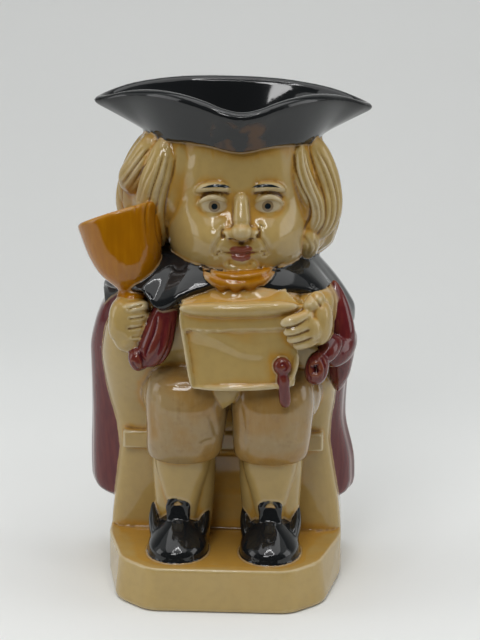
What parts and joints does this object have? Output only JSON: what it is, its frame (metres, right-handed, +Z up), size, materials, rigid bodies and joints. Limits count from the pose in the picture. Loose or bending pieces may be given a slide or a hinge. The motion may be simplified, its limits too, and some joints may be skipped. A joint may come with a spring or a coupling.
{
  "type": "toby jug",
  "caption": "Glazed earthenware toby jug: a seated town crier in a tricorn hat with a bell and a scroll, hollow, open at the hat, with a handle behind.",
  "frame": {"origin": "middle of the flat underside of the plinth", "axes": "+Z up, the figure faces -Y, the handle is on the +Y side"},
  "size_m": [0.1309, 0.1416, 0.2309],
  "materials": {
    "glazed_earthenware": "gloss glaze over earthenware, painted in colours"
  },
  "bodies": {
    "root": {"toby_jug": "glazed_earthenware"}
  },
  "joints": []
}
